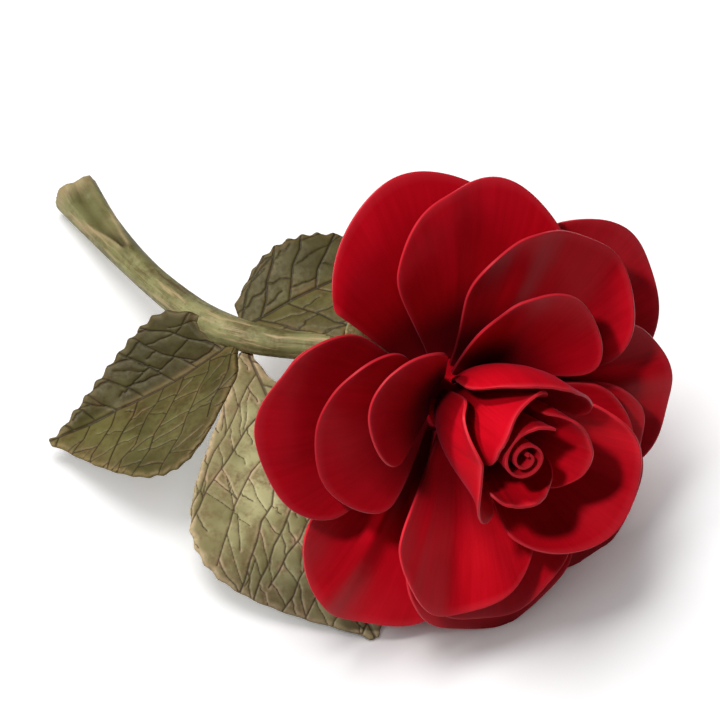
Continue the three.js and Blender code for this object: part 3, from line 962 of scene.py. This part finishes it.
class ROSE_OT_stem(bpy.types.Operator):
    """Makes the stem with its tool marks"""

    bl_idname = "rose.stem"
    bl_label = "Stem"

    def execute(self, context):
        sizes = context.scene.rose_sizes
        piece = copy_of("stem", "stem_glazed", STEM_CREASE)
        apply_modifier(piece, "REMESH", mode="VOXEL", voxel_size=STEM_GRAIN * MM)
        apply_modifier(piece, "SMOOTH", factor=0.5, iterations=STEM_SMOOTHING)
        mesh = piece.data
        points = corners_of(mesh)
        along, offset = stem_line_places(points / MM)
        places = np.column_stack([along, offset[:, 1], offset[:, 2]])
        store(mesh, "line", "FLOAT_VECTOR", places)
        mark_size = np.array((MARK_LENGTH, MARK_WIDTH, MARK_WIDTH))
        marks = np.array([noise.noise(Vector(p)) for p in places / mark_size])
        normals = corners_of(mesh, "normal")
        points += sizes.groove * marks[:, None] * normals
        # The hollow is cut in steeply at its narrow end, widens, and ends before the lip of the cut end
        end = np.array(STEM_LINE[-1]) - np.array(STEM_LINE[-3])
        across = np.array((end[1], -end[0], 0)) / math.hypot(end[0], end[1])
        inside = along - SCOOP_FROM
        half_width = HOLLOW_HALF_WIDTH + HOLLOW_WIDENING * eased(inside, 0, HOLLOW_LENGTH)
        aside = np.abs(offset @ across) / half_width
        bowl = np.clip(1 - aside**2, 0, 1)
        # Only the upper side is cut
        upper = np.clip((offset[:, 2] + 0.5) / 0.8, 0, 1) * np.clip((normals[:, 2] + 0.1) / 0.3, 0, 1)
        started = eased(inside, *HOLLOW_CUT)
        lip = eased(inside, *HOLLOW_LIP)
        hollow = upper * bowl * started * (1 - 0.6 * eased(inside, *HOLLOW_SHALLOW))
        points[:, 2] -= sizes.scoop * hollow * (1 - lip)
        points[:, 2] += sizes.lip * lip * upper * np.clip(1 - (offset @ across / LIP_HALF_WIDTH) ** 2, 0, 1)
        store(mesh, "hollow", "FLOAT", 0.8 * upper * np.sqrt(bowl) * started * (1 - lip))
        store(mesh, "pool", "FLOAT", 0.8 * hollow * (1 - eased(inside, *HOLLOW_BROWN)))
        bank = np.exp(-(((aside - BANK_PLACE) * half_width / BANK_HALF_WIDTH) ** 2)) * started
        store(mesh, "ridge", "FLOAT", 0.6 * upper * np.maximum(bank, lip))
        mesh.vertices.foreach_set("co", above_table(points).ravel())
        mesh.update()
        piece.vertex_groups.clear()
        seat(piece, "stem", bpy.data.materials["painted_green_stem"])
        return {"FINISHED"}


def stroke(chance, a, b, stray):
    """A hand-drawn line from a to b in four parts, each knot a little off the straight."""
    line = [tuple(a)]
    for k in (1, 2, 3):
        line.append(tuple(a[n] + (b[n] - a[n]) * k / 4 + stray * chance.uniform(-1, 1) for n in (0, 1)))
    return [*line, tuple(b)]


def vein_lines(length, spacing, seed):
    """The cuts of one leaf as lines of (aside, along) points in millimetres, with a width for each."""
    chance = random.Random(seed)
    lines = [([(0, -4), (0.3, length * 0.3), (-0.3, length * 0.7), (0, length)], MIDRIB_WIDTH)]
    for side in (-1, 1):
        previous = None
        start = spacing * chance.uniform(-1.6, -1.2)
        while start < length - 0.4 * spacing:
            lean = math.radians(chance.uniform(*VEIN_LEAN))
            bend = chance.uniform(*VEIN_BEND)
            lateral = []
            for k in range(VEIN_KNOTS):
                t = k * KNOT_STEP * spacing
                stray = KNOT_STRAY * spacing * chance.uniform(-1, 1) * (k > 0)
                along = start + t * math.cos(lean) + bend * t * t - stray
                lateral.append((side * (t * math.sin(lean) + stray), along))
            reached = chance.choice(KNOTS_REACHED)
            lines.append((lateral[:reached], chance.uniform(*SIDE_WIDTHS)))
            if previous:
                k = chance.uniform(0.3, 1.4)
                while k < VEIN_KNOTS - 1.5:
                    a = along_line(previous, k)
                    b = along_line(lateral, k + chance.uniform(-0.9, 0.9))
                    part = chance.choice(CROSS_SHARES)
                    b = [a[n] + (b[n] - a[n]) * part for n in (0, 1)]
                    line = stroke(chance, a, b, CROSS_STRAY * spacing)
                    lines.append((line, chance.uniform(*CROSS_WIDTHS)))
                    if chance.random() < FORK_CHANCE:
                        fork = line[chance.choice([1, 2, 3])]
                        tip = along_line(lateral, k + chance.uniform(0.9, 1.8))
                        tip = [fork[n] + (tip[n] - fork[n]) * chance.uniform(0.5, 1) for n in (0, 1)]
                        branch = stroke(chance, fork, tip, FORK_STRAY * spacing)
                        lines.append((branch, chance.uniform(*FORK_WIDTHS)))
                    k += chance.uniform(0.7, 1.5)
            previous = lateral
            start += spacing * chance.uniform(0.85, 1.3)
    return lines


def along_line(line, k):
    """The point at a fractional place k of a line."""
    k = min(max(k, 0), len(line) - 1.001)
    n = int(k)
    return tuple(line[n][m] + (line[n + 1][m] - line[n][m]) * (k - n) for m in (0, 1))


def vein_distance(places, lines, most):
    """How far each (aside, along) place is from the nearest cut, in millimetres of a cut of width 1."""
    distance = np.full(len(places), most)
    for line, width in lines:
        for a, b in zip(line[:-1], line[1:]):
            a, b = np.array(a), np.array(b)
            low = np.minimum(a, b) - most
            high = np.maximum(a, b) + most
            near = np.nonzero(np.all((places > low) & (places < high), axis=1))[0]
            if not len(near):
                continue
            step = b - a
            share = np.clip((places[near] - a) @ step / max(step @ step, 1e-9), 0, 1)
            away = np.linalg.norm(places[near] - (a + share[:, None] * step), axis=1) / width
            distance[near] = np.minimum(distance[near], away)
    return distance


def rim_tree(piece):
    """Close points along the sharp edges of a piece, to measure from."""
    mesh = piece.data
    index = piece.vertex_groups["rim"].index
    on_rim = {v.index for v in mesh.vertices if any(g.group == index for g in v.groups)}
    points = []
    for edge in mesh.edges:
        if edge.vertices[0] in on_rim and edge.vertices[1] in on_rim:
            a, b = (mesh.vertices[k].co for k in edge.vertices)
            count = max(1, int((b - a).length / (RIM_STEP * MM)))
            points.extend(a.lerp(b, k / count) for k in range(count))
    tree = KDTree(len(points))
    for k, point in enumerate(points):
        tree.insert(point, k)
    tree.balance()
    return tree


class ROSE_OT_leaves(bpy.types.Operator):
    """Makes the three leaves, swollen between cut veins"""

    bl_idname = "rose.leaves"
    bl_label = "Leaves"

    def execute(self, context):
        sizes = context.scene.rose_sizes
        material = painted_green_porcelain(context.scene.rose_colours, "painted_green_leaf", True)
        stem = bpy.data.objects["stem_glazed"]
        stem_tree = BVHTree.FromObject(stem, context.evaluated_depsgraph_get())
        for name, leaf in LEAVES.items():
            piece = copy_of(name, f"{name}_glazed", LEAF_CREASE)
            rim = rim_tree(piece)
            apply_modifier(piece, "SUBSURF", levels=LEAF_LEVELS, render_levels=LEAF_LEVELS)
            apply_modifier(piece, "REMESH", mode="VOXEL", voxel_size=leaf["grain"] * MM)
            apply_modifier(piece, "SMOOTH", factor=0.5, iterations=LEAF_SMOOTHING)
            mesh = piece.data
            # The teeth of the edge are rubbed round
            brim = piece.vertex_groups.new(name="brim")
            for vertex in mesh.vertices:
                if rim.find(vertex.co)[2] < BRIM * MM:
                    brim.add([vertex.index], 1, "REPLACE")
            apply_modifier(piece, "SMOOTH", factor=0.5, iterations=BRIM_SMOOTHING, vertex_group="brim")
            points = corners_of(mesh)
            normals = corners_of(mesh, "normal")
            slope, heading = math.radians(leaf["slope"]), math.radians(leaf["heading"])
            flat = math.cos(slope)
            along = Vector((flat * math.cos(heading), flat * math.sin(heading), math.sin(slope)))
            side = Vector((0, 0, 1)).cross(along).normalized()
            over = along.cross(side)
            from_base = points / MM - np.array(Vector(leaf["base"]) + SHIFT)
            aside = from_base @ np.array(side) / math.cos(math.radians(leaf["fold"]))
            places = np.column_stack([aside, from_base @ np.array(along)])
            lines = vein_lines(leaf["length"], sizes.vein_spacing / MM, leaf["seed"])
            distance = vein_distance(places, lines, VEIN_REACH)
            edge = np.array([rim.find(p)[2] for p in points]) / MM
            upper = np.clip((normals @ np.array(over) - 0.1) / 0.4, 0, 1)
            store(mesh, "vein", "FLOAT", np.where(upper > 0.3, distance, VEIN_REACH))
            store(mesh, "edge", "FLOAT", edge)
            # Painted shade on the far half, and a lighter or darker tip
            far_half = eased(aside * math.copysign(1, side.y), *FAR_HALF)
            towards_tip = eased(places[:, 1] / leaf["length"], *TIP)
            shade = (1 - (1 - leaf["far"]) * far_half) * (1 - (1 - leaf["tip"]) * towards_tip)
            store(mesh, "tone", "FLOAT_VECTOR", shade[:, None] * np.array(leaf["tone"]))
            swell = sizes.pillow * (1 - np.exp(-((distance / SWELL_RUN) ** 2)))
            cut = sizes.vein_depth * np.exp(-((distance * MM / sizes.vein_width) ** 2))
            inside = np.clip(edge / SWELL_EDGE, 0, 1)
            crease = sizes.midrib * np.exp(-np.abs(aside) / MIDRIB_RUN) * eased(edge, *MIDRIB_EDGE)
            points += (upper * (swell * inside - cut - crease))[:, None] * normals
            # The edge is cut by hand, so it strays
            stray = np.array([noise.noise(Vector(p) / (RAGGED_SIZE * MM)) for p in points])
            points += (sizes.ragged * stray * np.clip(1 - edge / RAGGED_RUN, 0, 1))[:, None] * normals
            # The blade runs into the stem
            close = np.nonzero(np.linalg.norm(stem_line_places(points / MM)[1], axis=1) < STEM_NEAR)[0]
            for k in close:
                nearest, _, _, gap = stem_tree.find_nearest(Vector(points[k]))
                pull = 1 - eased(gap / MM, *JOIN_RUN)
                short = max(0, 1 - JOIN_GAP * MM / max(gap, 1e-6))
                points[k] += (np.array(nearest) - points[k]) * pull * short
            mesh.vertices.foreach_set("co", above_table(points).ravel())
            mesh.update()
            piece.vertex_groups.clear()
            seat(piece, name, material)
        return {"FINISHED"}


def linked_group(name, members, link_state):
    """Objects that a light only takes (INCLUDE) or leaves out (EXCLUDE)."""
    group = bpy.data.collections.new(name)
    for member in members:
        group.objects.link(member)
    for linked in group.collection_objects:
        linked.light_linking.link_state = link_state
    return group


def add_light(name, heading, elevation, power, size, distance, gloss, floor, link_state):
    """A round light on the rose, which falls on the floor alone (INCLUDE) or on all but it (EXCLUDE)."""
    aim = SHIFT * MM
    flat = math.cos(elevation) * distance
    place = aim + Vector((flat * math.cos(heading), flat * math.sin(heading), math.sin(elevation) * distance))
    bpy.ops.object.light_add(type="AREA", location=place)
    light = bpy.context.active_object
    light.name = name
    light.rotation_euler = (aim - place).to_track_quat("-Z", "Y").to_euler()
    light.data.energy = power
    light.data.shape = "DISK"
    light.data.size = size
    light.data.specular_factor = gloss
    light.light_linking.receiver_collection = linked_group(f"{name}_receivers", [floor], link_state)
    return light


class ROSE_OT_stage(bpy.types.Operator):
    """Makes the floor, the light and the camera"""

    bl_idname = "rose.stage"
    bl_label = "Stage"

    def execute(self, context):
        stage = context.scene.rose_stage
        bpy.ops.object.select_all(action="DESELECT")
        bpy.ops.mesh.primitive_plane_add(size=FLOOR_WIDTH)
        floor = context.active_object
        floor.name = "pale_floor"
        floor.data.materials.append(pale_floor(context.scene.rose_colours))
        aim = SHIFT * MM
        far = stage.light_distance
        # The key stands behind the rose on its left, the second light in front on its left
        for name, gloss in (("key", 1), ("side", 0.5)):
            heading, elevation, power = (
                getattr(stage, f"{name}_{part}") for part in ("heading", "elevation", "power")
            )
            lamp = add_light(
                f"{name}_light", heading, elevation, power, stage.light_size, far, gloss, floor, "EXCLUDE"
            )
            # The left leaf takes no light from the front leaf
            leaf = [bpy.data.objects["leaf_left_glazed"]]
            lamp.light_linking.blocker_collection = linked_group(f"{name}_light_blockers", leaf, "EXCLUDE")
        # The shadow on the floor is soft, so the floor has a broader key and a broad light over it. Half of
        # that key passes the stem and leaves, whose shadow is faint
        heading, elevation = stage.floor_heading, stage.floor_elevation
        low = [bpy.data.objects[f"{name}_glazed"] for name in ("stem", *LEAVES)]
        half = stage.floor_power / 2
        add_light("floor_key", heading, elevation, half, stage.floor_size, far, 1, floor, "INCLUDE")
        passing = add_light(
            "passing_key", heading, elevation, half, stage.floor_size, far, 1, floor, "INCLUDE"
        )
        passing.light_linking.blocker_collection = linked_group("passing_key_blockers", low, "EXCLUDE")
        add_light("floor_sky", 0, math.pi / 2, stage.sky_power, stage.sky_size, far, 1, floor, "INCLUDE")
        world = context.scene.world or bpy.data.worlds.new("studio")
        context.scene.world = world
        world.use_nodes = True
        tree = world.node_tree
        tree.nodes.clear()
        path = add_node(tree, "ShaderNodeLightPath")
        strength = add_node(
            tree,
            "ShaderNodeMix",
            {0: path.outputs["Is Camera Ray"], 2: stage.fill, 3: 1.0},
            data_type="FLOAT",
        )
        sky = add_node(tree, "ShaderNodeBackground", {"Color": (1, 1, 1, 1), "Strength": strength.outputs[0]})
        add_node(tree, "ShaderNodeOutputWorld", {"Surface": sky.outputs[0]})
        # A long lens from far off, since the photograph shows next to no perspective
        distance = stage.frame_width * stage.lens / SENSOR
        look = Vector((0, -math.cos(stage.elevation), math.sin(stage.elevation)))
        bpy.ops.object.camera_add(
            location=aim + look * distance, rotation=(math.pi / 2 - stage.elevation, 0, 0)
        )
        camera = context.active_object
        camera.data.lens = stage.lens
        camera.data.sensor_width = SENSOR
        camera.data.clip_end = 200
        context.scene.camera = camera
        context.scene.view_settings.view_transform = "Standard"
        return {"FINISHED"}


class ROSE_PT_panel(bpy.types.Panel):
    bl_label = "Porcelain rose"
    bl_space_type = "VIEW_3D"
    bl_region_type = "UI"
    bl_category = "Rose"

    def draw(self, context):
        for group in (context.scene.rose_sizes, context.scene.rose_colours, context.scene.rose_stage):
            for name in group.__annotations__:
                self.layout.prop(group, name)
        for operator in OPERATORS:
            self.layout.operator(operator.bl_idname)


OPERATORS = (ROSE_OT_petals, ROSE_OT_bud_scroll, ROSE_OT_calyx, ROSE_OT_stem, ROSE_OT_leaves, ROSE_OT_stage)
GROUPS = (RoseSizes, RoseColours, RoseStage)


def register():
    for kind in (*GROUPS, *OPERATORS, ROSE_PT_panel):
        bpy.utils.register_class(kind)
    bpy.types.Scene.rose_sizes = PointerProperty(type=RoseSizes)
    bpy.types.Scene.rose_colours = PointerProperty(type=RoseColours)
    bpy.types.Scene.rose_stage = PointerProperty(type=RoseStage)


def unregister():
    del bpy.types.Scene.rose_stage
    del bpy.types.Scene.rose_colours
    del bpy.types.Scene.rose_sizes
    for kind in reversed((*GROUPS, *OPERATORS, ROSE_PT_panel)):
        bpy.utils.unregister_class(kind)


def main():
    register()
    bpy.ops.rose.petals()
    bpy.ops.rose.bud_scroll()
    bpy.ops.rose.calyx()
    bpy.ops.rose.stem()
    bpy.ops.rose.leaves()
    bpy.ops.rose.stage()


if __name__ == "__main__":
    main()
